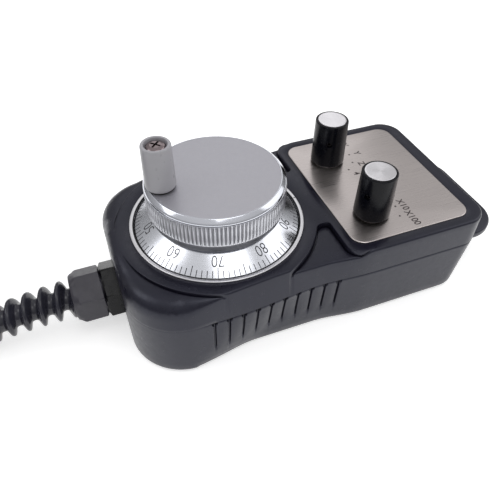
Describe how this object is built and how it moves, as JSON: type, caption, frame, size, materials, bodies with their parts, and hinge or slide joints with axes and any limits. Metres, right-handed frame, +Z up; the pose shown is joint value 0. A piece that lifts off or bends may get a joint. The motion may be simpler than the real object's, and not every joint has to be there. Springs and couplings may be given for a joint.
{
  "type": "pulse generator handwheel",
  "caption": "Hand-held control pendant with a graduated pulse generator handwheel, two rotary selectors and a cable with a spiral bend protector.",
  "frame": {"origin": "where the handwheel's axis meets the flat underside that the pendant lies on", "axes": "+Z up out of the dial face, +X along the housing from the handwheel to the selector panel, the cable leaves towards -X"},
  "size_m": [0.3632, 0.1441, 0.0913],
  "materials": {
    "shell_plastic": "fine spark texture, satin",
    "rubber_black": "matt",
    "zinc_screw": "zinc plated",
    "plate_steel": "brushed, warm grey",
    "aluminium": "fine turned",
    "can_paint": "satin",
    "board_green": "solder mask",
    "black_plastic": "moulded",
    "terminal_green": "moulded",
    "spring_steel": "ground",
    "code_glass": "clear with dark slots",
    "brass": "stamped",
    "grip_grey": "light grey",
    "knob_plastic": "satin black",
    "spun_cap": "spun",
    "gland_plastic": "moulded nylon",
    "nut_plastic": "moulded nylon, dark grey",
    "guard_plastic": "flexible, semi-gloss",
    "cable_jacket": "satin PVC",
    "connector_metal": "nickel plated"
  },
  "bodies": {
    "housing": {"top_shell": "shell_plastic", "bottom_shell": "shell_plastic", "housing_gasket": "rubber_black", "housing_screws": "zinc_screw", "panel_plate": "plate_steel", "encoder_flange": "aluminium", "flange_screws": "zinc_screw", "encoder_can": "can_paint", "encoder_board": "board_green", "optical_sensor": "black_plastic", "encoder_terminals": "terminal_green", "detent_spring": "spring_steel", "bearing_outer_races": "spring_steel", "bearing_balls": "spring_steel", "axis_switch_body": "black_plastic", "axis_switch_washer": "zinc_screw", "axis_switch_nut": "zinc_screw", "rate_switch_body": "black_plastic", "rate_switch_washer": "zinc_screw", "rate_switch_nut": "zinc_screw", "interface_board": "board_green", "board_standoffs": "black_plastic", "board_screws": "zinc_screw", "terminal_block": "terminal_green", "gland_body": "gland_plastic", "gland_locknut": "gland_plastic", "gland_seal": "rubber_black", "gland_nut": "nut_plastic", "spiral_guard": "guard_plastic", "cord": "cable_jacket", "cord_coil": "cable_jacket", "cord_tail": "cable_jacket", "plug_clamp": "connector_metal", "plug_shell": "connector_metal", "plug_insert": "black_plastic"},
    "handwheel": {"bearing_inner_races": "spring_steel", "spindle": "spring_steel", "code_disc": "code_glass", "detent_wheel": "brass", "dial_ring": "aluminium", "dial_screws": "zinc_screw", "handwheel": "aluminium", "wheel_cover": "aluminium", "wheel_screw": "zinc_screw", "crank_washer": "rubber_black", "crank_pin": "zinc_screw"},
    "crank": {"crank_grip": "grip_grey"},
    "axis_selector": {"axis_knob": "knob_plastic", "axis_knob_cap": "spun_cap", "axis_knob_grub": "zinc_screw", "axis_switch_shaft": "spring_steel"},
    "rate_selector": {"rate_knob": "knob_plastic", "rate_knob_cap": "spun_cap", "rate_knob_grub": "zinc_screw", "rate_switch_shaft": "spring_steel"},
    "plug_ring": {"plug_ring": "connector_metal"}
  },
  "joints": [
    {"name": "handwheel_spin", "type": "hinge", "parent": "housing", "child": "handwheel", "pos_m": [0, 0, 0.045], "axis": [0, 0, 1], "continuous": true},
    {"name": "crank_grip_spin", "type": "hinge", "parent": "handwheel", "child": "crank", "pos_m": [-0.0237, 0, 0.08], "axis": [0, 0, 1], "continuous": true},
    {"name": "axis_selector_turn", "type": "hinge", "parent": "housing", "child": "axis_selector", "pos_m": [0.0683, 0.0224, 0.05], "axis": [0, 0, 1], "range_deg": [-120, 0]},
    {"name": "rate_selector_turn", "type": "hinge", "parent": "housing", "child": "rate_selector", "pos_m": [0.0683, -0.0224, 0.05], "axis": [0, 0, 1], "range_deg": [-60, 0]},
    {"name": "plug_ring_spin", "type": "hinge", "parent": "housing", "child": "plug_ring", "pos_m": [-0.206, 0.0733, 0.0403], "axis": [0, 1, 0], "continuous": true}
  ]
}
